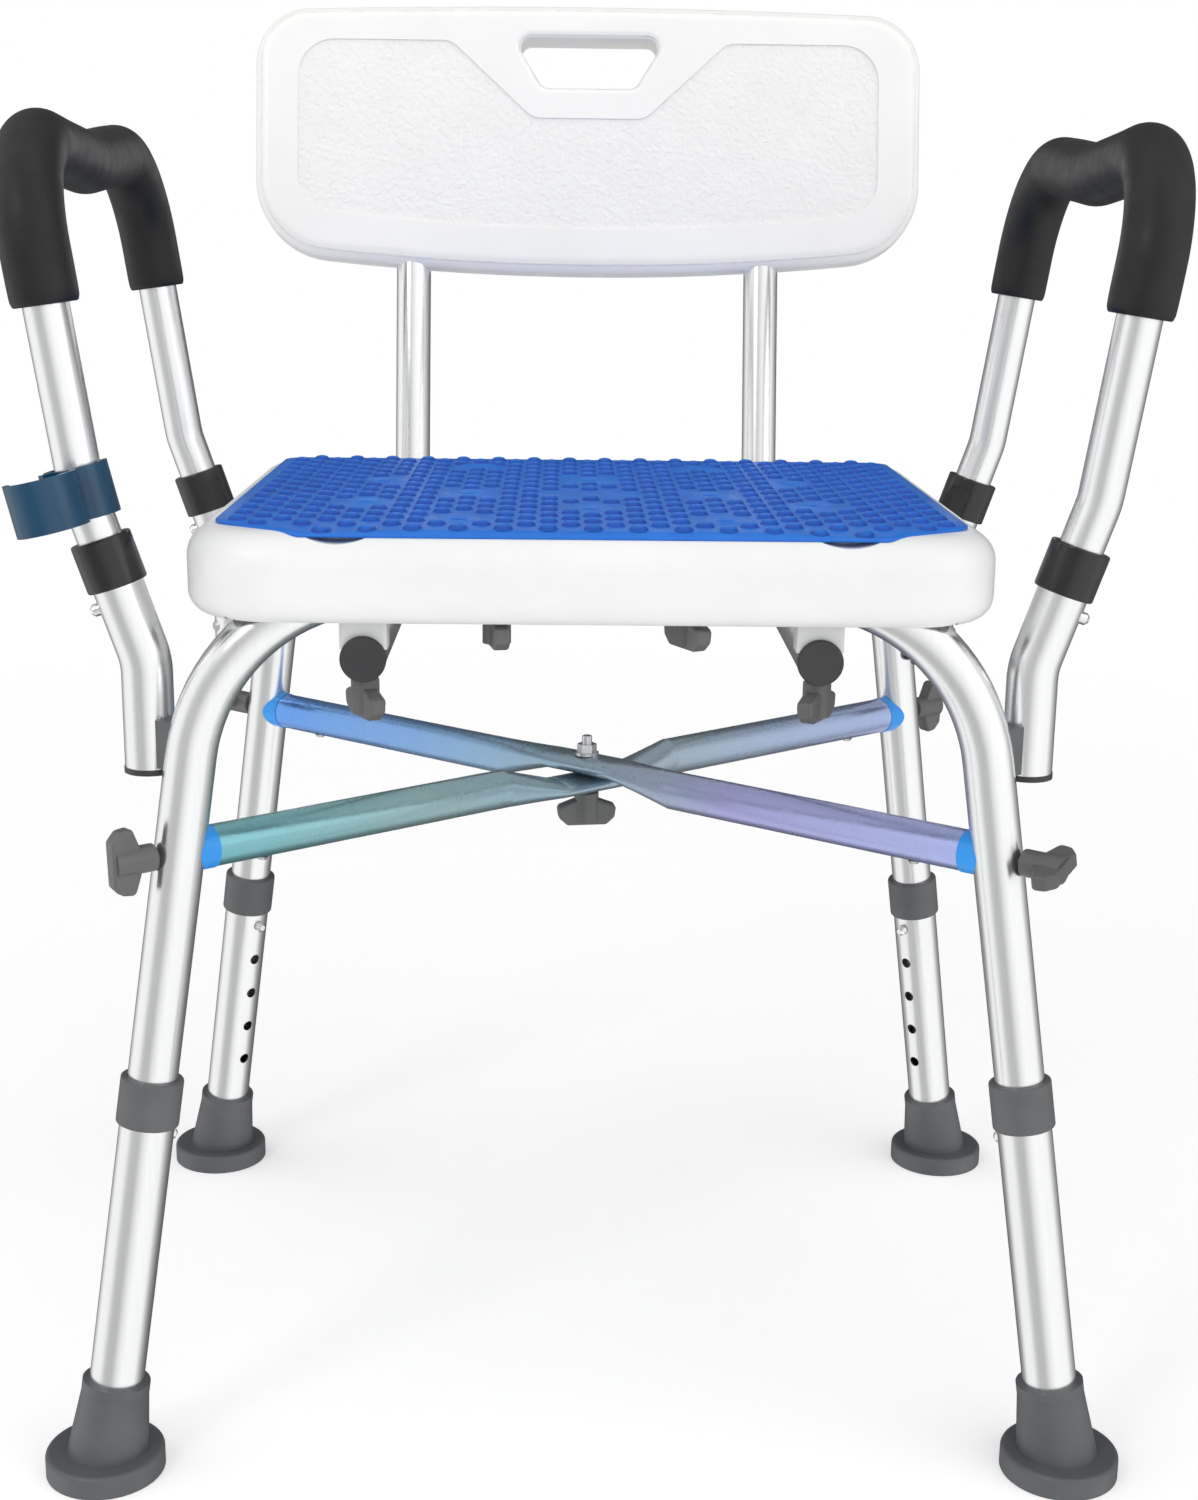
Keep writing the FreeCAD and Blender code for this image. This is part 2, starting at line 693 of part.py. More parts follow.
def arm_path(side):
    front = [arm_low(side, -1, ARM_BOTTOM_Z), arm_low(side, -1, ARM_KINK_Z)]
    rear = [arm_low(side, 1, ARM_KINK_Z), arm_low(side, 1, ARM_BOTTOM_Z)]
    return front + arm_rest(side) + rear


def arm_tube(side):
    bends = [ARM_KINK_BEND] + ARM_REST_BENDS + [ARM_KINK_BEND]
    bar = bent_tube(arm_path(side), bends, ARM_R, ARM_R - ARM_WALL)
    return bar.cut([
        arm_pin_hole(side, end, BUTTON_R + 0.1) for end in ENDS.values()])


def arm_pin_hole(side, end, radius):
    start = arm_low(side, end, ARM_BUTTON_Z)
    return cylinder(start, start + outward(side) * (SOCKET_R + 3), radius)


def arm_grip(side):
    """Foam sleeve over the top of an arm."""
    ends = [arm_high(side, -1, GRIP_END_Z), arm_high(side, 1, GRIP_END_Z)]
    return bent_tube([ends[0]] + arm_rest(side) + [ends[1]], ARM_REST_BENDS, GRIP_R, ARM_R)


def socket_path(side, end, top_z):
    return [
        Vec(side * SOCKET_X, end * ARM_Y, SOCKET_BOTTOM_Z),
        Vec(side * SOCKET_X, end * ARM_Y, socket_corner_z()),
        arm_low(side, end, top_z)]


def arm_socket(side, end):
    """Bent tube fixed to a leg, which an arm drops into."""
    path = socket_path(side, end, SOCKET_TOP_Z)
    body = bent_tube(path, [SOCKET_BEND], SOCKET_R, SOCKET_BORE)
    holes = [arm_pin_hole(side, end, HOLE_R)]
    holes += [rivet_shank(side, end, z) for z in SOCKET_RIVET_Z]
    return body.cut(holes)


def socket_to_leg(side, end, z):
    start = Vec(side * SOCKET_X, end * ARM_Y, z)
    return start, unit(leg_point(side, end, z) - start)


def rivet_reach(side, end, z):
    start, way = socket_to_leg(side, end, z)
    return (leg_point(side, end, z) - start).Length - LEG_R + LEG_WALL + 1.2


def rivet_shank(side, end, z):
    start, way = socket_to_leg(side, end, z)
    reach = rivet_reach(side, end, z)
    return cylinder(start - way * (SOCKET_R + 0.5), start + way * reach, RIVET_R)


def socket_rivet(side, end, z):
    """Rivet through a socket into a leg, with a low head that fits the socket's curve."""
    start, way = socket_to_leg(side, end, z)
    base = start - way * (SOCKET_R - 1)
    top = start - way * (SOCKET_R + RIVET_HEAD)
    head = cone(base, top, RIVET_HEAD_R, RIVET_HEAD_R - 1.6)
    head = head.cut(cylinder(start - UP * 20, start + UP * 20, SOCKET_R))
    inside = start - way * (SOCKET_R + 0.6)
    return join([head, cylinder(inside, start + way * rivet_reach(side, end, z), RIVET_R)])


def socket_saddle(side, end):
    """Spacer that fills the gap between a socket and its leg."""
    low, high = SOCKET_RIVET_Z[0] - 5, SOCKET_RIVET_Z[1] + 7
    start, way = socket_to_leg(side, end, (low + high) / 2)
    across = way.cross(UP) * 7
    base = Vec(start.x, start.y, low)
    length = (leg_point(side, end, low) - base).Length
    corners = [base - across, base + across, base + across + way * length,
               base - across + way * length]
    block = prism(polygon(corners), UP * (high - low))
    bar = cylinder(base - UP * 9, base + UP * 60, SOCKET_R)
    shanks = [rivet_shank(side, end, z) for z in SOCKET_RIVET_Z]
    return block.cut([bar, frame_bar(end, LEG_R)] + shanks)


def socket_collar(side, end):
    low = arm_low(side, end, ARM_COLLAR_BOTTOM_Z)
    rim = arm_low(side, end, SOCKET_TOP_Z)
    top = arm_low(side, end, ARM_COLLAR_TOP_Z)
    body = cylinder(low, top, ARM_COLLAR_R)
    body = body.makeFillet(1.2, [e for e in body.Edges if e.Closed])
    return body.cut([cylinder(low, rim, SOCKET_R), cylinder(low, top, SOCKET_BORE)])


def socket_cap(side, end):
    """Plug in the open bottom of an arm socket."""
    start = Vec(side * SOCKET_X, end * ARM_Y, SOCKET_BOTTOM_Z)
    face = cylinder(start, start - UP * 3, SOCKET_R + 0.4)
    return join([face, cylinder(start, start + UP * 3, SOCKET_BORE)])


# ---- crossed braces -----------------------------------------------------
def brace_skin(along, lift, shrink):
    """Round brace that is pressed flat at the middle, as one solid."""
    across = unit(along.cross(UP))
    end = BRACE_HALF - BRACE_PLUG_GAP
    stations = [
        (-end, 0, BRACE_R, BRACE_R), (-FLAT_END, 0, BRACE_R, BRACE_R),
        (-FLAT_HALF_LENGTH, lift, FLAT_HALF_W, FLAT_HALF_H),
        (FLAT_HALF_LENGTH, lift, FLAT_HALF_W, FLAT_HALF_H),
        (FLAT_END, 0, BRACE_R, BRACE_R), (end, 0, BRACE_R, BRACE_R)]
    rings = []
    for s, rise, half_w, half_h in stations:
        centre = CENTRE + along * s + UP * rise
        wide = half_w - shrink + (0.001 if half_w == half_h else 0)
        curve = Part.Ellipse(centre + across * wide, centre + UP * (half_h - shrink), centre)
        rings.append(Part.Wire(curve.toShape()))
    return Part.makeLoft(rings, True, True)


def crossbar(side, lift):
    along = brace_out(side, -1)
    skin = brace_skin(along, lift, 0).cut(brace_skin(along, lift, BRACE_WALL))
    bolt = cylinder(CENTRE - UP * 30, CENTRE + UP * 30, STUD_HOLE)
    screws = [plug_screw_shank(side * n, -n) for n in (-1, 1)]
    return skin.cut([bolt] + screws)


def brace_end(side, end):
    return CENTRE + brace_out(side, end) * (BRACE_HALF - BRACE_PLUG_GAP)


def end_plug(side, end):
    """Coloured plug between a brace and the leg, hollowed to the leg's curve."""
    out = brace_out(side, end)
    start = brace_end(side, end)
    face = cylinder(start, start + out * BRACE_PLUG_GAP, BRACE_PLUG_R)
    insert = cylinder(start - out * PLUG_DEPTH, start, BRACE_R - BRACE_WALL)
    leg = cylinder(leg_point(side, end, BRACE_Z - 40), leg_point(side, end, BRACE_Z + 40), LEG_R)
    thread = cylinder(start - out * (PLUG_DEPTH - 6), start + out * 30, THREAD_HOLE)
    return join([face, insert]).cut([leg, thread, plug_screw_shank(side, end)])


def plug_screw_at(side, end):
    return brace_end(side, end) - brace_out(side, end) * PLUG_SCREW_S


def plug_screw_shank(side, end):
    middle = plug_screw_at(side, end)
    return cylinder(middle - UP * (BRACE_R + 1), middle - UP * 5, 1.5)


def plug_screw(side, end):
    """Small screw up through the underside of a brace into its plug."""
    middle = plug_screw_at(side, end)
    under = middle - UP * (BRACE_R - 0.1)
    head = cone(under, under - UP * 1.8, 3.4, 2.2)
    along = brace_out(side, end)
    bar = cylinder(middle - along * 8, middle + along * 8, BRACE_R)
    return join([head.cut(bar), cylinder(under, middle - UP * 5, 1.5)])


# ---- knobs --------------------------------------------------------------
def knob_body(height, stud):
    """Winged knob that hangs below the origin, with its stud going up."""
    stem = cylinder(Vec(0, 0, 0), Vec(0, 0, -height + 2), KNOB_STEM_R)
    stem = stem.makeFillet(1.0, [max(stem.Edges, key=lambda e: e.CenterOfMass.z)])
    half = KNOB_HALF_SPAN
    y = -KNOB_THICK / 2
    wing = height - KNOB_WING
    right = [(5.5, 4.5 - wing), (half, -wing), (half - 1, -wing - 7), (half - 6, -height)]
    corners = [Vec(x, y, z) for x, z in right] + [Vec(-x, y, z) for x, z in reversed(right)]
    bar = prism(polygon(corners), Vec(0, KNOB_THICK, 0))
    tips = [e for e in along_edges(bar, Vec(0, 1, 0)) if abs(e.CenterOfMass.x) > 8]
    bar = bar.makeFillet(3.0, tips)
    rims = plane_edges(bar, lambda p: abs(abs(p.y) - KNOB_THICK / 2) < 1e-6)
    whole = join([stem, bar.makeFillet(1.8, rims)])
    if stud:
        whole = join([whole, cylinder(Vec(0, 0, -4), Vec(0, 0, stud), STUD_R)])
    return whole


def place_knob(body, face, up, turn):
    """Turn a knob about its stud, then put the top of its stem at face."""
    body.rotate(Vec(0, 0, 0), UP, turn)
    body.Placement = FreeCAD.Placement(face, FreeCAD.Rotation(UP, up)).multiply(body.Placement)
    return body


def knobs():
    """Every winged knob by name."""
    made = {}
    brace_stud = 2 * LEG_R + BRACE_STUD_IN_PLUG
    low = BACK_TUBE_Z - BACK_TUBE_R - KNOB_GAP
    under_frame = FRAME_TOP_Z - LEG_R - KNOB_GAP
    for name, (side, end) in CORNERS.items():
        out = brace_out(side, end)
        face = CENTRE + out * (BRACE_HALF + LEG_R + BRACE_KNOB_GAP)
        body = knob_body(BRACE_KNOB_HEIGHT, brace_stud)
        made["brace_knob_" + name] = place_knob(body, face, out * -1, 35)
        face = Vec(side * BACK_TUBE_X, end * FRAME_Y, low)
        body = knob_body(KNOB_HEIGHT, SEAT_STUD_TOP_Z - low)
        made["back_knob_" + name] = place_knob(body, face, UP, 62 * side)
    for name, side in SIDES.items():
        face = Vec(side * SEAT_KNOB_X, -FRAME_Y, under_frame)
        body = knob_body(SEAT_KNOB_HEIGHT, SEAT_STUD_TOP_Z - under_frame)
        made["seat_knob_" + name] = place_knob(body, face, UP, -70 + 8 * side)
    under_braces = CENTRE - UP * (BRACE_R + KNOB_GAP)
    centre = place_knob(knob_body(KNOB_HEIGHT, 0), under_braces, UP, 8)
    made["centre_knob"] = centre.cut(centre_stud())
    return made


def centre_stud():
    """Threaded rod from the centre knob up through both braces and the nut."""
    low = Vec(0, 0, BRACE_Z - BRACE_R - 8)
    rod = cylinder(low, Vec(0, 0, CENTRE_STUD_TOP_Z), STUD_R)
    return rod.makeFillet(0.8, [max(rod.Edges, key=lambda e: e.CenterOfMass.z)])


def centre_nut():
    """Washer and hexagon nut on top of the crossing."""
    base = BRACE_Z + BRACE_R
    washer = cylinder(Vec(0, 0, base), Vec(0, 0, base + WASHER_THICK), WASHER_R)
    corner = NUT_HALF_FLAT / math.cos(math.pi / 6)
    z = base + WASHER_THICK
    ring = [Vec(corner * math.cos(n * math.pi / 3), corner * math.sin(n * math.pi / 3), z)
            for n in range(6)]
    nut = prism(polygon(ring), UP * NUT_HEIGHT)
    hole = cylinder(Vec(0, 0, base - 1), Vec(0, 0, z + NUT_HEIGHT + 1), THREAD_HOLE)
    return join([washer, nut]).cut(hole)


# ---- shower head clip ---------------------------------------------------
def open_ring(centre, up, inside, height, gap_way, gap_half):
    """C-shaped band with its gap towards one side."""
    low = centre - up * (height / 2)
    ring = tube(low, low + up * height, inside + CLIP_BAND, inside)
    across = unit(up.cross(gap_way)) * gap_half
    base = low - up
    face = [base - across, base + across, base + across + gap_way * 60,
            base - across + gap_way * 60]
    return ring.cut(prism(polygon(face), up * (height + 2)))


def clip_axis():
    """Middle of the arm's kink and the direction half way between its runs."""
    low = arm_up(-1)
    high = unit(arm_high(-1, -1, 1) - arm_high(-1, -1, 0))
    return arm_low(-1, -1, ARM_KINK_Z), unit(low + high)


def shower_head_clip():
    """Two C bands back to back: one grips the arm, the other holds a shower head."""
    centre, up = clip_axis()
    grip_in = ARM_R + CLIP_GAP
    aim = Vec(*HOLDER_AIM)
    holder_way = unit(aim - up * aim.dot(up))
    holder = centre + holder_way * (grip_in + HOLDER_R)
    side_way = unit(up.cross(holder_way))
    bore = HOLDER_R - CLIP_BAND
    grip = open_ring(centre, up, grip_in, CLIP_HEIGHT, holder_way * -1, CLIP_MOUTH_HALF)
    open_way = unit(side_way * -1 - holder_way * HOLDER_TURN)
    cradle = open_ring(holder, up, bore, CLIP_HEIGHT, open_way, HOLDER_MOUTH_HALF)
    neck_low = centre + holder_way * (grip_in - 1) - up * (CLIP_HEIGHT / 2)
    half = side_way * 5
    far = holder_way * 5
    neck = prism(
        polygon([neck_low - half, neck_low + half, neck_low + half + far, neck_low - half + far]),
        up * CLIP_HEIGHT)
    room = [cylinder(p - up * 30, p + up * 30, r) for p, r in ((holder, bore), (centre, grip_in))]
    return join([grip, cradle, neck]).cut(room)


# ---- write every node ---------------------------------------------------
def nodes():
    made = {
        "seat": seat(),
        "seat_mat": seat_mat(),
        "back_panel": back_panel(),
        "front_leg_frame": leg_frame(-1),
        "rear_leg_frame": leg_frame(1),
        "crossbar_upper": crossbar(1, FLAT_LIFT),
        "crossbar_lower": crossbar(-1, -FLAT_LIFT),
        "centre_stud": centre_stud(),
        "centre_nut": centre_nut(),
        "shower_head_clip": shower_head_clip(),
    }
    corners = list(CORNERS.values())
    made["back_tube_caps"] = group([back_tube_cap(s) for s in SIDES.values()])
    made["back_panel_screws"] = group([
        back_panel_screw(s, z) for s in SIDES.values() for z in SCREW_HEIGHTS])
    made["tube_saddles"] = group([tube_saddle(*c) for c in corners])
    made["arm_socket_saddles"] = group([socket_saddle(*c) for c in corners])
    made["arm_socket_rivets"] = group([
        socket_rivet(s, e, z) for s, e in corners for z in SOCKET_RIVET_Z])
    made["arm_socket_collars"] = group([socket_collar(*c) for c in corners])
    made["arm_socket_caps"] = group([socket_cap(*c) for c in corners])
    made["crossbar_end_plugs"] = group([end_plug(*c) for c in corners])
    made["crossbar_screws"] = group([plug_screw(*c) for c in corners])
    for name, side in SIDES.items():
        made["back_tube_" + name] = back_tube(side)
        made["arm_tube_" + name] = arm_tube(side)
        made["arm_grip_" + name] = arm_grip(side)
    for name, (side, end) in CORNERS.items():
        made["lower_leg_tube_" + name] = lower_leg_tube(side, end)
        made["leg_collar_" + name] = leg_collar(side, end)
        made["foot_" + name] = foot(side, end)
        made["leg_button_" + name] = leg_button(side, end)
        made["arm_socket_" + name] = arm_socket(side, end)
        made["arm_button_" + name] = arm_button(side, end)
    made.update(knobs())
    return made


os.makedirs("parts", exist_ok=True)
for node_name, shape in nodes().items():
    placed = shape.translated(Vec(0, -MIDDLE_Y, 0))
    print(node_name, len(placed.Solids), round(placed.Volume), placed.isValid())
    placed.exportStep("parts/" + node_name + ".step")
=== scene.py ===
"""Looks of a shower chair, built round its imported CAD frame, in metres.

The front of the chair is -Y and the floor is z = 0. The CAD nodes keep their
shape and get finished materials. The studded mat and the foam arm sleeves are
rebuilt as detailed meshes that stand for their plain CAD solids.
"""
import math

import bpy
from mathutils import Matrix, Vector
from mathutils.geometry import delaunay_2d_cdt


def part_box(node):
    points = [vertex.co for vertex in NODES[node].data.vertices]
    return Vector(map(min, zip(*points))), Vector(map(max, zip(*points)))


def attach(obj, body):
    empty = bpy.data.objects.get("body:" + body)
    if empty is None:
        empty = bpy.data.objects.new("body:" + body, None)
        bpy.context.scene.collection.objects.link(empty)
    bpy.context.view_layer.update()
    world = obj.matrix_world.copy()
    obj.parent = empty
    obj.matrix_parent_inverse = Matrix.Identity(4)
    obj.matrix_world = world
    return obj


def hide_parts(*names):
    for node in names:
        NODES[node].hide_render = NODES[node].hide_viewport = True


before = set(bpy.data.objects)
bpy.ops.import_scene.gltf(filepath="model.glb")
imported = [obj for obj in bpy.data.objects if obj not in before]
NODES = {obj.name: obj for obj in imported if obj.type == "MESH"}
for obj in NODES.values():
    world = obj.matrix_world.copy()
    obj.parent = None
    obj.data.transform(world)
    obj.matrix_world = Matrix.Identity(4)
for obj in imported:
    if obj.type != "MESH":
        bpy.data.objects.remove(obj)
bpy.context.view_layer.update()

MM = 0.001
BACK_LEAN = math.atan(0.22)
CORNERS = [end + "_" + side for end in ("front", "rear") for side in ("left", "right")]


# ---- materials ----------------------------------------------------------
def set_marks(node, stops):
    """Gives a colour ramp its stops, each a position and a colour."""
    marks = node.color_ramp.elements
    while len(marks) < len(stops):
        marks.new(0.5)
    for mark, (position, colour) in zip(marks, stops):
        mark.position = position
        mark.color = (*colour, 1.0)


class Finish:
    """A node material with a Principled shader, and helpers to feed it."""

    def __init__(self, name, colour, roughness, metallic=0.0):
        self.material = bpy.data.materials.new(name)
        self.material.use_nodes = True
        self.tree = self.material.node_tree
        self.shader = self.tree.nodes["Principled BSDF"]
        self.coords = self.tree.nodes.new("ShaderNodeTexCoord")
        self.split = self.tree.nodes.new("ShaderNodeSeparateXYZ")
        self.link(self.coords.outputs["Object"], self.split.inputs[0])
        self.height = None
        self.set("Base Color", (*colour, 1.0))
        self.set("Roughness", roughness)
        self.set("Metallic", metallic)

    def set(self, socket, value):
        self.shader.inputs[socket].default_value = value

    def link(self, source, target):
        self.tree.links.new(source, target)

    def math(self, operation, first, second=0.0):
        node = self.tree.nodes.new("ShaderNodeMath")
        node.operation = operation
        for socket, value in zip(node.inputs, (first, second)):
            if isinstance(value, (int, float)):
                socket.default_value = value
            else:
                self.link(value, socket)
        return node.outputs[0]

    def place(self, stretch):
        """Object coordinates, stretched."""
        node = self.tree.nodes.new("ShaderNodeMapping")
        node.inputs["Scale"].default_value = stretch
        self.link(self.coords.outputs["Object"], node.inputs["Vector"])
        return node.outputs[0]

    def noise(self, scale, detail=3.0, rough=0.5, place=None, twist=0.0):
        node = self.tree.nodes.new("ShaderNodeTexNoise")
        node.inputs["Scale"].default_value = scale
        node.inputs["Detail"].default_value = detail
        node.inputs["Roughness"].default_value = rough
        node.inputs["Distortion"].default_value = twist
        self.link(place or self.coords.outputs["Object"], node.inputs["Vector"])
        return node.outputs["Fac"]

    def cells(self, scale, feature="F1"):
        node = self.tree.nodes.new("ShaderNodeTexVoronoi")
        node.feature = feature
        node.inputs["Scale"].default_value = scale
        self.link(self.coords.outputs["Object"], node.inputs["Vector"])
        return node.outputs["Distance"]

    def spread(self, value, low, high, from_low=0.3, from_high=0.7):
        """Maps a texture's middle range to low..high."""
        node = self.tree.nodes.new("ShaderNodeMapRange")
        self.link(value, node.inputs["Value"])
        node.inputs["From Min"].default_value = from_low
        node.inputs["From Max"].default_value = from_high
        node.inputs["To Min"].default_value = low
        node.inputs["To Max"].default_value = high
        return node.outputs["Result"]

    def ramp(self, value, stops):
        node = self.tree.nodes.new("ShaderNodeValToRGB")
        set_marks(node, stops)
        self.link(value, node.inputs["Fac"])
        return node.outputs["Color"]

    def mix(self, factor, first, second):
        """Blends two colours that other nodes make."""
        node = self.tree.nodes.new("ShaderNodeMix")
        node.data_type = "RGBA"
        for name, value in (("A", first), ("B", second)):
            socket = [s for s in node.inputs if s.name == name and s.type == "RGBA"][0]
            self.link(value, socket)
        self.link(factor, node.inputs["Factor"])
        return [s for s in node.outputs if s.type == "RGBA"][0]

    def paint(self, colour):
        self.link(colour, self.shader.inputs["Base Color"])

    def vary_roughness(self, value, low, high):
        self.link(self.spread(value, low, high), self.shader.inputs["Roughness"])

    def bump(self, value, depth):
        """Adds a layer of relief that is depth metres deep."""
        node = self.tree.nodes.new("ShaderNodeBump")
        node.inputs["Strength"].default_value = 1.0
        node.inputs["Distance"].default_value = depth
        self.link(value, node.inputs["Height"])
        if self.height is not None:
            self.link(self.height, node.inputs["Normal"])
        self.height = node.outputs["Normal"]
        self.link(self.height, self.shader.inputs["Normal"])

    def give(self, *names):
        for name in names:
            slots = NODES[name].data.materials
            slots.clear()
            slots.append(self.material)


def moulded(name, dark, light, roughness, grain=900.0, relief=0.00004):
    """Moulded plastic with a fine spark-eroded grain and cloudy colour."""
    finish = Finish(name, light, roughness)
    cloud = finish.noise(22.0, 4.0)
    finish.paint(finish.ramp(finish.spread(cloud, 0.0, 1.0), [(0.0, dark), (1.0, light)]))
    finish.vary_roughness(finish.noise(60.0, 3.0), roughness - 0.06, roughness + 0.08)
    finish.bump(finish.noise(grain, 2.0), relief)
    return finish


def white_shell(name, dark=(0.83, 0.835, 0.83), light=(0.87, 0.875, 0.87)):
    """Blow-moulded polythene, with a waxy depth and faint hollows left by cooling."""
    finish = moulded(name, dark, light, 0.34, 700.0)
    finish.set("Subsurface Weight", 0.06)
    finish.set("Subsurface Radius", (0.006, 0.005, 0.004))
    finish.bump(finish.noise(16.0, 2.0), 0.00035)
    return finish


# How deep below the back rest's front plane the embossed field starts and ends.
FIELD_START = (0.7 * MM, 1.1 * MM)
FIELD_END = (1.4 * MM, 1.9 * MM)


def embossed_shell():
    """The back rest: the sunken field on its front has a fine leathery emboss."""
    finish = white_shell("embossed_shell", (0.93, 0.92, 0.895), (0.96, 0.95, 0.93))
    through = Vector((0.0, math.cos(BACK_LEAN), -math.sin(BACK_LEAN)))
    front = min(v.co.dot(through) for v in NODES["back_panel"].data.vertices)
    back = finish.math("MULTIPLY", finish.split.outputs["Y"], through.y)
    down = finish.math("MULTIPLY", finish.split.outputs["Z"], -through.z)
    depth = finish.math("SUBTRACT", back, down)
    past_lip = finish.spread(depth, 0.0, 1.0, front + FIELD_START[0], front + FIELD_START[1])
    before_back = finish.spread(depth, 1.0, 0.0, front + FIELD_END[0], front + FIELD_END[1])
    field = finish.math("MULTIPLY", past_lip, before_back)
    pebble = finish.spread(finish.cells(330.0, "SMOOTH_F1"), 0.0, 1.0, 0.1, 0.75)
    crease = finish.spread(finish.noise(260.0, 4.0, 0.6, None, 1.2), 0.0, 1.0)
    pebble = finish.math("MULTIPLY", pebble, 0.6)
    crease = finish.math("MULTIPLY", crease, 0.6)
    grain = finish.math("ADD", pebble, crease)
    finish.bump(finish.math("MULTIPLY", grain, field), 0.0006)
    return finish


def tube_metal(name, colour):
    """Satin anodised tube with fine, nearly upright lines."""
    finish = Finish(name, colour, 0.2, 1.0)
    along = finish.place((1.0, 1.0, 0.02))
    streak = finish.noise(1100.0, 3.0, 0.6, along)
    broad = finish.noise(300.0, 2.0, 0.5, along)
    cloud = finish.noise(9.0, 3.0)
    fine = finish.math("MULTIPLY", streak, 0.5)
    coarse = finish.math("MULTIPLY", broad, 0.5)
    tone = finish.math("ADD", fine, coarse)
    dark = tuple(channel * 0.95 for channel in colour)
    finish.paint(finish.ramp(finish.spread(tone, 0.0, 1.0), [(0.0, dark), (1.0, colour)]))
    wear = finish.math("ADD", tone, finish.math("MULTIPLY", cloud, 0.3))
    finish.vary_roughness(wear, 0.20, 0.25)
    finish.bump(streak, 0.000002)
    return finish


def blue_brace():
    """Tube with a metallic tint that drifts from teal through blue to violet."""
    finish = Finish("blue_brace", (0.3, 0.5, 0.8), 0.3, 0.75)
    wander = finish.math("MULTIPLY", finish.noise(7.0), 0.08)
    drift = finish.math("ADD", finish.split.outputs["X"], wander)
    across = finish.spread(drift, 0.0, 1.0, -0.16, 0.24)
    near = finish.ramp(across, [
        (0.0, (0.17, 0.45, 0.50)), (0.28, (0.30, 0.45, 0.46)), (0.5, (0.30, 0.40, 0.44)),
        (0.7, (0.38, 0.38, 0.66)), (1.0, (0.40, 0.46, 0.78))])
    far = finish.ramp(across, [
        (0.0, (0.14, 0.34, 0.78)), (0.35, (0.26, 0.42, 0.62)), (0.6, (0.32, 0.42, 0.44)),
        (1.0, (0.38, 0.46, 0.74))])
    depth = finish.spread(finish.split.outputs["Y"], 0.0, 1.0, -0.10, 0.02)
    finish.paint(finish.mix(depth, near, far))
    finish.vary_roughness(finish.noise(90.0), 0.22, 0.30)
    return finish


def foam():
    """Closed-cell foam with a soft skin."""
    finish = Finish("foam", (0.03, 0.03, 0.032), 0.62)
    cloud = finish.spread(finish.noise(35.0, 4.0), 0.0, 1.0)
    finish.paint(finish.ramp(cloud, [(0.0, (0.006, 0.006, 0.006)), (1.0, (0.010, 0.010, 0.010))]))
    finish.vary_roughness(finish.noise(80.0), 0.42, 0.55)
    finish.set("Specular IOR Level", 0.34)
    finish.set("Sheen Weight", 0.03)
    finish.set("Sheen Roughness", 0.5)
    finish.bump(finish.cells(1100.0), 0.00004)
    finish.bump(finish.noise(45.0, 3.0), 0.0002)
    return finish


def mat_blue():
    """Soft blue vinyl; painted shade makes the studs' flanks a deeper blue than the paler sheet."""
    finish = Finish("mat_blue", (0.02, 0.13, 0.65), 0.4)
    attribute = finish.tree.nodes.new("ShaderNodeAttribute")
    attribute.attribute_name = "stud"
    cloud = finish.spread(finish.noise(40.0, 3.0), 0.0, 1.0)
    sheet = finish.ramp(cloud, [(0.0, (0.010, 0.150, 0.63)), (1.0, (0.018, 0.185, 0.71))])
    # Painted shade: a darker blue laid on the studs' flanks, as much as the stud attribute says.
    stud = finish.ramp(cloud, [(0.0, (0.001, 0.060, 0.38)), (1.0, (0.002, 0.080, 0.46))])
    finish.paint(finish.mix(attribute.outputs["Fac"], sheet, stud))
    finish.vary_roughness(finish.noise(120.0), 0.38, 0.5)
    finish.set("Specular IOR Level", 0.35)
    finish.set("Subsurface Weight", 0.08)
    finish.set("Subsurface Radius", (0.001, 0.002, 0.006))
    finish.bump(finish.noise(1200.0, 2.0), 0.00003)
    return finish


def steel(name, colour, roughness):
    """Bare or plated steel with faint fine scratches."""
    finish = Finish(name, colour, roughness, 1.0)
    finish.vary_roughness(finish.noise(700.0, 3.0), roughness - 0.05, roughness + 0.1)
    finish.bump(finish.noise(1500.0, 2.0), 0.000015)
    return finish


def dress_cad_nodes():
    """Gives every CAD node that stays on show its finished material."""
    white_shell("white_shell").give("seat")
    embossed_shell().give("back_panel")
    blue_brace().give("crossbar_upper", "crossbar_lower")
    dress_metal()
    dress_plastic()


def at_corners(name):
    """The four nodes whose names start alike and end with a corner."""
    return [name + corner for corner in CORNERS]


def dress_metal():
    tube = tube_metal("tube_metal", (0.84, 0.845, 0.85))
    tube.give(
        "front_leg_frame", "rear_leg_frame", "back_tube_left", "back_tube_right",
        "arm_tube_left", "arm_tube_right")
    tube.give(*at_corners("lower_leg_tube_"), *at_corners("arm_socket_"))
    chrome = steel("button_chrome", (0.80, 0.79, 0.77), 0.14)
    chrome.give(*at_corners("leg_button_"), *at_corners("arm_button_"))
    plain = steel("plain_steel", (0.62, 0.62, 0.63), 0.26)
    plain.give("centre_stud", "centre_nut", "arm_socket_rivets", "crossbar_screws", "back_panel_screws")


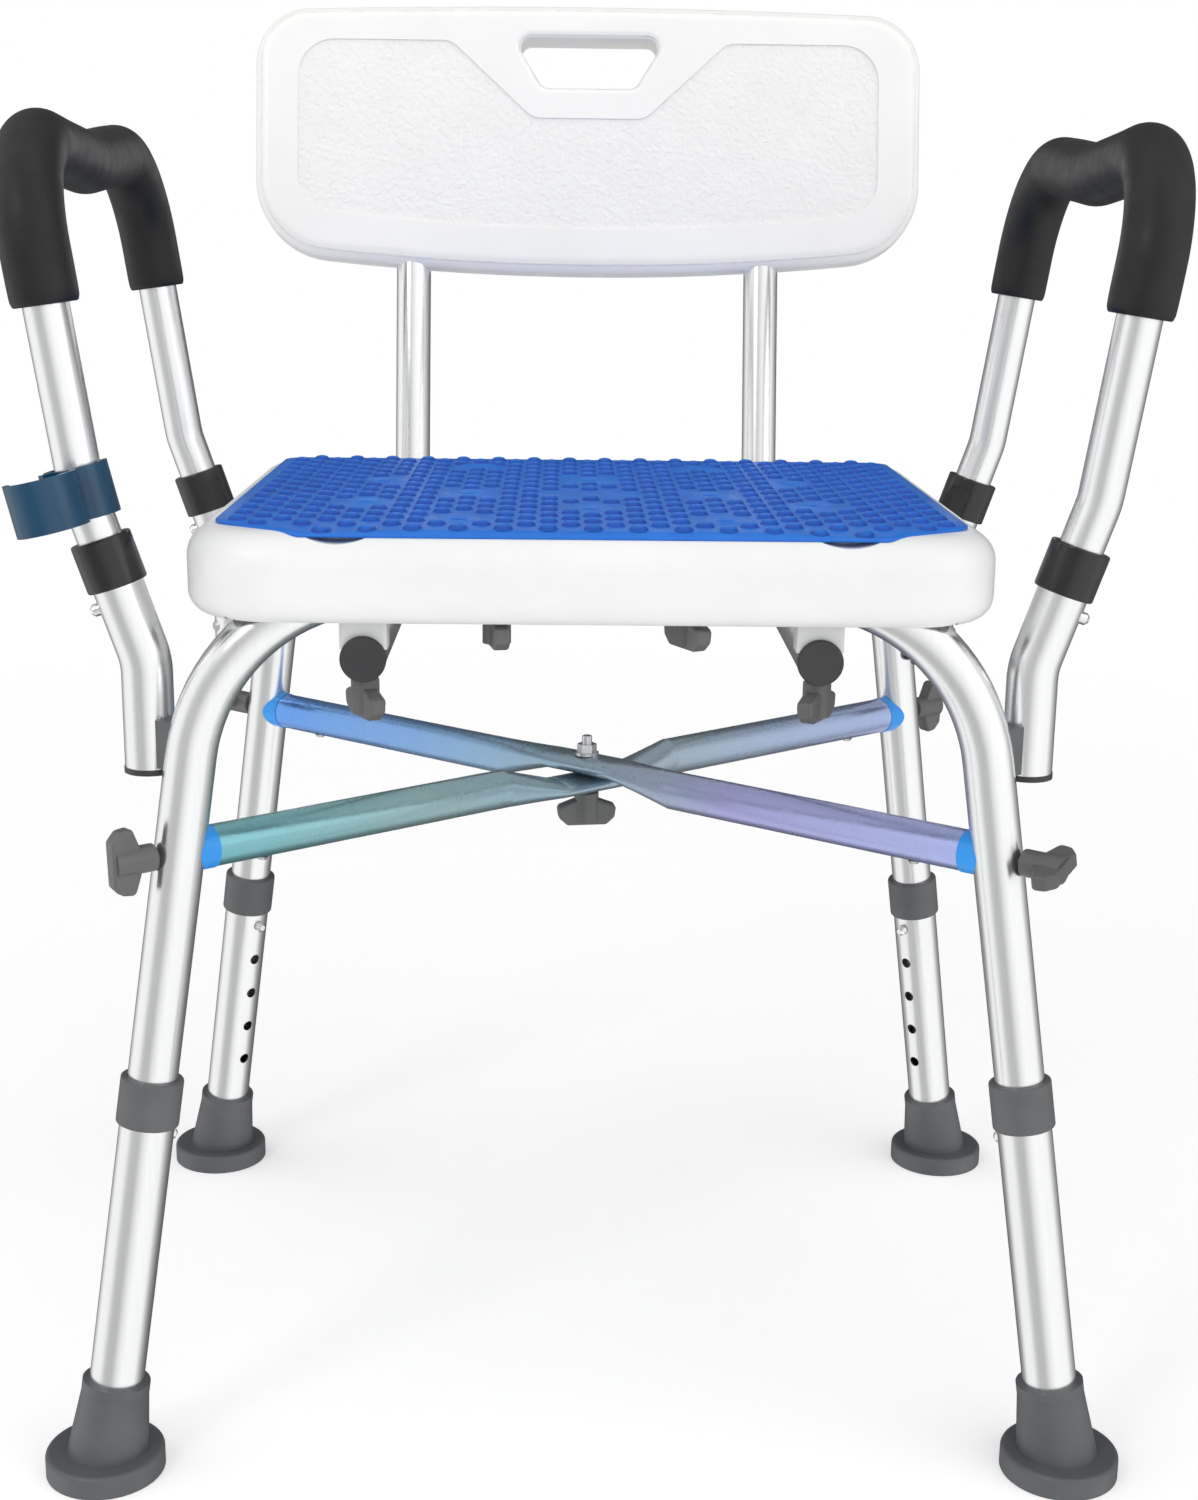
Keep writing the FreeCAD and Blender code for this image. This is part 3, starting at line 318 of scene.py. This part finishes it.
def dress_plastic():
    plug = moulded("plug_blue", (0.01, 0.26, 0.78), (0.02, 0.33, 0.88), 0.3)
    plug.give("crossbar_end_plugs")
    collar = moulded("collar_grey", (0.085, 0.088, 0.092), (0.115, 0.118, 0.122), 0.42)
    collar.give("arm_socket_saddles", *at_corners("leg_collar_"))
    spacer = moulded("saddle_pale", (0.74, 0.75, 0.75), (0.80, 0.81, 0.81), 0.32)
    spacer.give("tube_saddles")
    gloss = moulded("collar_black", (0.008, 0.008, 0.009), (0.014, 0.014, 0.015), 0.16, 500.0)
    gloss.give("arm_socket_collars")
    knob = moulded("knob_grey", (0.085, 0.088, 0.086), (0.125, 0.128, 0.125), 0.34)
    knob.give("seat_knob_left", "seat_knob_right", "centre_knob")
    knob.give(*at_corners("brace_knob_"), *at_corners("back_knob_"))
    rubber = moulded("foot_rubber", (0.078, 0.083, 0.090), (0.104, 0.110, 0.118), 0.45, 600.0)
    rubber.give(*at_corners("foot_"))
    cap = moulded("cap_dark", (0.022, 0.023, 0.025), (0.040, 0.041, 0.043), 0.4)
    cap.give("back_tube_caps", "arm_socket_caps")
    clip = moulded("clip_teal", (0.0005, 0.042, 0.098), (0.001, 0.056, 0.122), 0.2)
    clip.give("shower_head_clip")


# ---- mesh helpers -------------------------------------------------------
def mesh_object(name, verts, faces, finish, smooth=True):
    mesh = bpy.data.meshes.new(name)
    mesh.from_pydata(verts, [], faces)
    mesh.validate()
    for polygon in mesh.polygons:
        polygon.use_smooth = smooth
    piece = bpy.data.objects.new(name, mesh)
    bpy.context.scene.collection.objects.link(piece)
    mesh.materials.append(finish.material)
    return piece


def rounded_outline(points, radius, steps):
    """Closed outline through corner points, each rounded with an arc."""
    outline = []
    count = len(points)
    for index, corner in enumerate(points):
        before = (points[index - 1] - corner).normalized()
        after = (points[(index + 1) % count] - corner).normalized()
        half = before.angle(after) / 2
        centre = corner + (before + after).normalized() * (radius / math.sin(half))
        start = corner + before * (radius / math.tan(half)) - centre
        sweep = start.angle_signed(corner + after * (radius / math.tan(half)) - centre)
        for step in range(steps + 1):
            turn = -sweep * step / steps
            outline.append(centre + Matrix.Rotation(turn, 2) @ start)
    return outline


def join_rings(faces, first, rings, sides):
    """Adds the faces between rings of points that follow each other from index first."""
    for ring in range(rings - 1):
        for step in range(sides):
            here = first + ring * sides + step
            beside = first + ring * sides + (step + 1) % sides
            faces.append((here, beside, beside + sides, here + sides))


# ---- the mat ------------------------------------------------------------
MAT_LOW, MAT_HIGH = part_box("seat_mat")
SEAT_LOW, SEAT_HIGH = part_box("seat")
LEGS_Y = (SEAT_LOW.y + SEAT_HIGH.y) / 2 + 1.0 * MM    # the middle between the legs
SIDE_FRONT_Y = -144.0 * MM
FRONT_HALF = 148.0 * MM
MAT_CORNER = 13.0 * MM
SHEET_LIFT = 0.3 * MM
SHEET_TOP = SHEET_LIFT + 1.5 * MM
GRID = 7.0 * MM
STUD_PITCH = 11.15 * MM
STUD_SHIFT = 6.0 * MM     # how far the grid of studs lies in front of the middle
STUD_REACH = 20           # grid places looked at each way
STUD_FROM_CUP = 17.5 * MM
STUD_FROM_EDGE = 5.5 * MM
STUD_TOP = 2.6
# Radius and height in millimetres, and how much painted shade the ring gets.
STUD_PROFILE = (
    (5.3, -0.1, 0.35), (4.9, 0.2, 0.9), (4.5, 0.8, 1.0), (4.0, 1.5, 0.8), (3.2, 2.1, 0.35),
    (1.7, 2.5, 0.05))
STUD_SIDES = 16
RING_R = 10.66 * MM       # the low ring round each drain hole
RING_WIDTH = 2.0 * MM
RING_HEIGHT = 1.3 * MM
RING_REACH = 16.9 * MM
DRAIN_R = 4.6 * MM
CUP_CIRCLES = (DRAIN_R, 7.0 * MM, 9.5 * MM, 11.5 * MM, 14.0 * MM)
CUP_SIDES = 28
PLAIN_OVAL = (27.0 * MM, 19.0 * MM)
OVAL_PLACE = Vector((0.0, -28.0 * MM))
CUPS = [(0, 39), (0, -90), (67, 102), (67, -27), (68, -132), (119, 26), (120, -68)]
FRONT_LOBE_X = 126.0 * MM
FRONT_LOBE_WIDTH = 26.0 * MM
FRONT_LOBE_REACH = 7.0 * MM
FRONT_SAG_REACH = 30.0 * MM


def cup_places():
    """Middles of the drain holes, from the middle between the legs."""
    places = []
    for x, y in CUPS:
        for side in (1, -1) if x else (1,):
            places.append(Vector((side * x * MM, y * MM)))
    return places


def mat_outline():
    half = MAT_HIGH.x
    rear = MAT_HIGH.y - LEGS_Y
    front = MAT_LOW.y - LEGS_Y
    points = [
        Vector((-half, rear)), Vector((half, rear)), Vector((half, SIDE_FRONT_Y)),
        Vector((FRONT_HALF, front)), Vector((-FRONT_HALF, front)), Vector((-half, SIDE_FRONT_Y))]
    return rounded_outline(points, MAT_CORNER, 6)


def inside(point, outline, margin=0.0):
    """True where a point lies inside a convex outline by at least margin."""
    for first, second in zip(outline, outline[1:] + outline[:1]):
        edge = second - first
        if edge.length < 1e-9:
            continue
        normal = Vector((edge.y, -edge.x)).normalized()
        if (point - first).dot(normal) < margin:
            return False
    return True


def near_front(y):
    """0 away from the front edge of the mat, and 1 at it."""
    return max(0.0, 1.0 - (y - MAT_LOW.y + LEGS_Y) / FRONT_SAG_REACH)


def lobe(x):
    """1 where the mat sags into a scooped place in the seat's front edge."""
    return math.exp(-((abs(x) - FRONT_LOBE_X) / FRONT_LOBE_WIDTH) ** 2)


def on_seat(x, y, height):
    """Where a point of the flat mat lies once the mat has settled on the seat."""
    share = near_front(y) ** 2
    corner = max(0.0, (abs(x) - 150.0 * MM) / (40.0 * MM)) * near_front(y)
    sag = share * (0.8 + 2.6 * lobe(x)) * MM + corner * 1.2 * MM
    return (x, y + LEGS_Y - share * lobe(x) * FRONT_LOBE_REACH, MAT_LOW.z + height - sag)


def cup_relief(x, y, cups):
    """Height of the low rings round the drain holes."""
    here = Vector((x, y))
    lift = 0.0
    for cup in cups:
        away = (here - cup).length
        if away < RING_REACH:
            lift += math.exp(-((away - RING_R) / RING_WIDTH) ** 2) * RING_HEIGHT
    return lift


def sheet_points(outline, cups):
    """Points of the sheet, and the edges that its faces may not cross."""
    points = list(outline)
    edges = [(i, (i + 1) % len(outline)) for i in range(len(outline))]
    for cup in cups:
        for radius in CUP_CIRCLES:
            first = len(points)
            for step in range(CUP_SIDES):
                turn = 2 * math.pi * step / CUP_SIDES
                points.append(cup + Vector((math.cos(turn), math.sin(turn))) * radius)
            if radius == DRAIN_R:
                edges += [(first + i, first + (i + 1) % CUP_SIDES) for i in range(CUP_SIDES)]
    for i in range(-30, 31):
        for j in range(-30, 31):
            here = Vector((i * GRID, j * GRID * 0.9))
            clear = all((here - cup).length > 16.0 * MM for cup in cups)
            if clear and inside(here, outline, 3.0 * MM):
                points.append(here)
    return points, edges


def flat_sheet(outline, cups):
    """Triangles of the sheet with its drain holes left open."""
    points, edges = sheet_points(outline, cups)
    verts, _, faces, *_ = delaunay_2d_cdt(points, edges, [], 0, 1e-7)
    kept = []
    for face in faces:
        middle = sum((verts[i] for i in face), Vector((0, 0))) / len(face)
        open_hole = any((middle - cup).length < DRAIN_R * 0.98 for cup in cups)
        if not open_hole and inside(middle, outline):
            kept.append(face)
    return verts, kept


def closed_sheet(outline, cups):
    """Underside and top of the sheet, joined at the edge and in the drain holes."""
    flat, triangles = flat_sheet(outline, cups)
    verts = [on_seat(x, y, SHEET_LIFT) for x, y in flat]
    verts += [on_seat(x, y, SHEET_TOP + cup_relief(x, y, cups)) for x, y in flat]
    count = len(flat)
    faces = []
    for a, b, c in triangles:
        faces.append((a, c, b))
        faces.append((a + count, b + count, c + count))
    borders = [pair for face in triangles for pair in zip(face, face[1:] + face[:1])]
    known = set(borders)
    for first, second in borders:
        if (second, first) not in known:
            faces.append((first, second, second + count, first + count))
    return verts, faces


def build_mat(finish):
    outline = mat_outline()
    cups = cup_places()
    verts, faces = closed_sheet(outline, cups)
    painted_stud_shade = [0.0] * len(verts)
    for x, y in stud_places(outline, cups):
        add_stud(verts, faces, painted_stud_shade, x, y)
    piece = mesh_object("studded_mat", verts, faces, finish)
    # The stud attribute holds the painted shade on each stud's flanks.
    layer = piece.data.attributes.new("stud", "FLOAT", "POINT")
    layer.data.foreach_set("value", painted_stud_shade)
    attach(piece, "frame")
    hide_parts("seat_mat")


def stud_places(outline, cups):
    """A chequered grid of studs, clear of the edge, the cups and the plain oval."""
    for i in range(-STUD_REACH, STUD_REACH + 1):
        for j in range(-STUD_REACH, STUD_REACH + 1):
            if (i + j) % 2:
                continue
            here = Vector((i * STUD_PITCH, j * STUD_PITCH - STUD_SHIFT))
            nearest = min((here - cup).length for cup in cups)
            off = here - OVAL_PLACE
            in_oval = (off.x / PLAIN_OVAL[0]) ** 2 + (off.y / PLAIN_OVAL[1]) ** 2 < 1
            clear = nearest >= STUD_FROM_CUP and not in_oval
            if clear and inside(here, outline, STUD_FROM_EDGE):
                yield here.x, here.y


def add_stud(verts, faces, painted_stud_shade, x, y):
    """Adds one domed stud, and how much painted shade each of its points gets."""
    first = len(verts)
    for radius, height, shade in STUD_PROFILE:
        for step in range(STUD_SIDES):
            turn = 2 * math.pi * step / STUD_SIDES
            px = x + math.cos(turn) * radius * MM
            py = y + math.sin(turn) * radius * MM
            verts.append(on_seat(px, py, SHEET_TOP + height * MM))
            painted_stud_shade.append(shade)
    join_rings(faces, first, len(STUD_PROFILE), STUD_SIDES)
    top = len(verts)
    verts.append(on_seat(x, y, SHEET_TOP + STUD_TOP * MM))
    painted_stud_shade.append(0.0)
    last = top - STUD_SIDES
    for step in range(STUD_SIDES):
        faces.append((last + step, last + (step + 1) % STUD_SIDES, top))


# ---- foam sleeves -------------------------------------------------------
ARM_LEAN = math.atan(0.147)
ARM_TOP_Z = 687.5 * MM    # where the runs of the arm rest's corners would meet
ARM_BEND = 52.0 * MM
ARM_DIP = 11.0 * MM       # how far the arm rest dips between its corners
ARM_DIP_BEND = 100.0 * MM
FOAM_R = 17.0 * MM
FOAM_BORE = 11.6 * MM
FOAM_SIDES = 48
FOAM_STEP = 3.0 * MM


def evenly(start, end):
    """Points from start to end, without the end itself."""
    count = max(1, round((end - start).length / FOAM_STEP))
    return [start.lerp(end, step / count) for step in range(count)]


def bent_path(corners, bends):
    """Points along straight runs, with a round bend at each inner corner."""
    points = []
    start = corners[0]
    for index, bend in enumerate(bends, 1):
        into = (corners[index] - corners[index - 1]).normalized()
        out = (corners[index + 1] - corners[index]).normalized()
        turn = into.angle(out)
        begin = corners[index] - into * bend * math.tan(turn / 2)
        hinge = into.cross(out).normalized()
        centre = begin + hinge.cross(into) * bend
        points += evenly(start, begin)
        steps = max(4, round(turn * bend / FOAM_STEP))
        for step in range(steps):
            turned = Matrix.Rotation(turn * step / steps, 3, hinge)
            points.append(centre + turned @ (begin - centre))
        start = corners[index] + out * bend * math.tan(turn / 2)
    return points + evenly(start, corners[-1]) + [corners[-1]]


def sleeve_path(side):
    """Middle line of a sleeve, front end to rear end."""
    low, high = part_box("arm_grip_" + side)
    sign = 1 if side == "right" else -1
    lean = Vector((sign * math.sin(ARM_LEAN), 0.0, math.cos(ARM_LEAN)))
    inner_x = low.x if sign > 0 else high.x
    end_x = inner_x + sign * FOAM_R * math.cos(ARM_LEAN)
    end_z = low.z + FOAM_R * math.sin(ARM_LEAN)
    ends = [Vector((end_x, y, end_z)) for y in (low.y + FOAM_R, high.y - FOAM_R)]
    tops = [end + lean * (ARM_TOP_Z - end_z) / lean.z for end in ends]
    dip = (tops[0] + tops[1]) / 2 - lean * ARM_DIP / lean.z
    return bent_path([ends[0], tops[0], dip, tops[1], ends[1]], [ARM_BEND, ARM_DIP_BEND, ARM_BEND])


def sleeve_rings(points):
    """For each ring of a sleeve, its place along the path, its radius and its slip forward."""
    lengths = [0.0]
    for first, second in zip(points, points[1:]):
        lengths.append(lengths[-1] + (second - first).length)
    last = len(points) - 1
    rings = [(0, FOAM_BORE, 0.0), (0, FOAM_R - 1.8 * MM, 0.0), (0, FOAM_R - 0.9 * MM, 0.5 * MM)]
    for index in range(1, last):
        rings.append((index, sleeve_radius(lengths[index], lengths[-1]), 0.0))
    rings.append((last, FOAM_R - 0.9 * MM, -0.5 * MM))
    rings.append((last, FOAM_R - 1.8 * MM, 0.0))
    rings.append((last, FOAM_BORE, 0.0))
    return rings


def build_sleeve(side, finish):
    points = sleeve_path(side)
    hinge = (points[-1] - points[0]).cross(points[len(points) // 2] - points[0]).normalized()
    last = len(points) - 1
    rings = sleeve_rings(points)
    verts, faces = [], []
    for index, radius, slip in rings:
        forward = (points[min(index + 1, last)] - points[max(index - 1, 0)]).normalized()
        inner = hinge.cross(forward)
        for step in range(FOAM_SIDES):
            turn = 2 * math.pi * step / FOAM_SIDES
            way = hinge * math.cos(turn) + inner * math.sin(turn)
            verts.append(tuple(points[index] + forward * slip + way * radius))
    join_rings(faces, 0, len(rings), FOAM_SIDES)
    piece = mesh_object("foam_sleeve_" + side, verts, faces, finish)
    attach(piece, "arm_" + side)
    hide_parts("arm_grip_" + side)


def sleeve_radius(length, total):
    """Foam radius: full, with faint swells, and tucked in at both ends."""
    from_end = min(length, total - length)
    swell = 0.15 * MM * math.sin(length * 31.0) + 0.08 * MM * math.sin(length * 74.0 + 1.0)
    tuck = 0.5 * MM * math.exp(-from_end / (3.0 * MM))
    return FOAM_R + swell - tuck


# ---- camera, lights and floor -------------------------------------------
CAMERA_PLACE = Vector((-0.0156, -1.2211, 0.6468))
CAMERA_PITCH = 0.245
CAMERA_YAW = 0.019
CAMERA_ROLL = 0.012
CAMERA_LENS = 50.4


def camera_turn():
    """Which way the camera faces: yaw, then pitch, then roll."""
    yaw_cos, yaw_sin = math.cos(CAMERA_YAW), math.sin(CAMERA_YAW)
    pitch_cos, pitch_sin = math.cos(CAMERA_PITCH), math.sin(CAMERA_PITCH)
    roll_cos, roll_sin = math.cos(CAMERA_ROLL), math.sin(CAMERA_ROLL)
    right = Vector((yaw_cos, -yaw_sin, 0.0))
    down = Vector((-yaw_sin * pitch_sin, -yaw_cos * pitch_sin, -pitch_cos))
    forward = Vector((yaw_sin * pitch_cos, yaw_cos * pitch_cos, -pitch_sin))
    across = right * roll_cos - down * roll_sin
    up = -(right * roll_sin + down * roll_cos)
    return Matrix((across, up, -forward)).transposed().to_4x4()


def add_camera():
    camera = bpy.data.cameras.new("camera")
    camera.lens = CAMERA_LENS
    camera.sensor_width = 36.0
    camera.clip_start = 0.05
    camera.clip_end = 50.0
    holder = bpy.data.objects.new("camera", camera)
    bpy.context.scene.collection.objects.link(holder)
    holder.matrix_world = Matrix.Translation(CAMERA_PLACE) @ camera_turn()
    bpy.context.scene.camera = holder


# Brightness all round, from behind the camera by the left, past the back, to the right.
SURROUND = [
    (0.0, 0.80), (0.05, 0.48), (0.13, 0.52), (0.19, 0.92), (0.30, 0.90), (0.38, 0.30),
    (0.5, 0.06), (0.62, 0.16), (0.70, 0.42), (0.77, 0.95), (0.93, 1.0), (1.0, 0.80)]
SURROUND_LEVEL = 1.2
FLOOR_HALF = 20.0


def all_round(tree):
    """Direction in the level plane as 0..1, for the world's node tree."""
    coords = tree.nodes.new("ShaderNodeTexCoord")
    split = tree.nodes.new("ShaderNodeSeparateXYZ")
    tree.links.new(coords.outputs["Generated"], split.inputs[0])
    angle = tree.nodes.new("ShaderNodeMath")
    angle.operation = "ARCTAN2"
    tree.links.new(split.outputs["X"], angle.inputs[0])
    tree.links.new(split.outputs["Y"], angle.inputs[1])
    share = tree.nodes.new("ShaderNodeMapRange")
    tree.links.new(angle.outputs[0], share.inputs["Value"])
    share.inputs["From Min"].default_value = -math.pi
    share.inputs["From Max"].default_value = math.pi
    return share.outputs["Result"]


def add_world():
    """White backdrop; what the tubes reflect is banded, so that they read as round."""
    world = bpy.data.worlds.new("studio")
    bpy.context.scene.world = world
    world.use_nodes = True
    tree = world.node_tree
    ramp = tree.nodes.new("ShaderNodeValToRGB")
    set_marks(ramp, [(position, (level, level, level)) for position, level in SURROUND])
    tree.links.new(all_round(tree), ramp.inputs["Fac"])
    around = tree.nodes["Background"]
    tree.links.new(ramp.outputs["Color"], around.inputs["Color"])
    around.inputs["Strength"].default_value = SURROUND_LEVEL
    backdrop = tree.nodes.new("ShaderNodeBackground")
    backdrop.inputs["Color"].default_value = (1.0, 1.0, 1.0, 1.0)
    seen = tree.nodes.new("ShaderNodeLightPath")
    choose = tree.nodes.new("ShaderNodeMixShader")
    tree.links.new(seen.outputs["Is Camera Ray"], choose.inputs["Fac"])
    tree.links.new(around.outputs[0], choose.inputs[1])
    tree.links.new(backdrop.outputs[0], choose.inputs[2])
    tree.links.new(choose.outputs[0], tree.nodes["World Output"].inputs["Surface"])


def add_light(name, place, target, size, power):
    light = bpy.data.lights.new(name, "AREA")
    light.shape = "RECTANGLE"
    light.size, light.size_y = size
    light.energy = power
    holder = bpy.data.objects.new(name, light)
    bpy.context.scene.collection.objects.link(holder)
    holder.location = place
    holder.rotation_euler = (Vector(target) - Vector(place)).to_track_quat("-Z", "Y").to_euler()


def add_floor():
    """Pale floor that fades into the backdrop, and that tubes don't mirror."""
    finish = Finish("floor", (0.80, 0.80, 0.80), 0.6)
    finish.set("Emission Color", (1.0, 1.0, 1.0, 1.0))
    finish.set("Emission Strength", 0.38)
    finish.bump(finish.noise(300.0), 0.00002)
    away = finish.tree.nodes.new("ShaderNodeVectorMath")
    away.operation = "LENGTH"
    finish.link(finish.coords.outputs["Object"], away.inputs[0])
    fade = finish.spread(away.outputs["Value"], 0.0, 1.0, 0.7, 2.0)
    ray = finish.tree.nodes.new("ShaderNodeLightPath")
    fade = finish.math("MAXIMUM", fade, ray.outputs["Is Glossy Ray"])
    clear = finish.tree.nodes.new("ShaderNodeBsdfTransparent")
    blend = finish.tree.nodes.new("ShaderNodeMixShader")
    finish.link(fade, blend.inputs["Fac"])
    finish.link(finish.shader.outputs[0], blend.inputs[1])
    finish.link(clear.outputs[0], blend.inputs[2])
    finish.link(blend.outputs[0], finish.tree.nodes["Material Output"].inputs["Surface"])
    verts = [(x * FLOOR_HALF, y * FLOOR_HALF, 0) for x, y in ((-1, -1), (1, -1), (1, 1), (-1, 1))]
    floor = mesh_object("floor", verts, [(0, 1, 2, 3)], finish, smooth=False)
    floor.location.z = -0.2 * MM


dress_cad_nodes()
build_mat(mat_blue())
FOAM = foam()
for arm_side in ("left", "right"):
    build_sleeve(arm_side, FOAM)
add_camera()
add_world()
add_floor()
add_light("key", (-1.5, -1.9, 2.0), (0, 0, 0.4), (0.7, 0.7), 11.0)
add_light("fill", (1.9, -1.2, 1.4), (0, 0, 0.4), (1.2, 1.8), 3.0)
add_light("top", (0.0, 0.3, 2.6), (0, 0, 0.3), (2.0, 2.0), 5.0)
bpy.context.scene.view_settings.view_transform = "Standard"
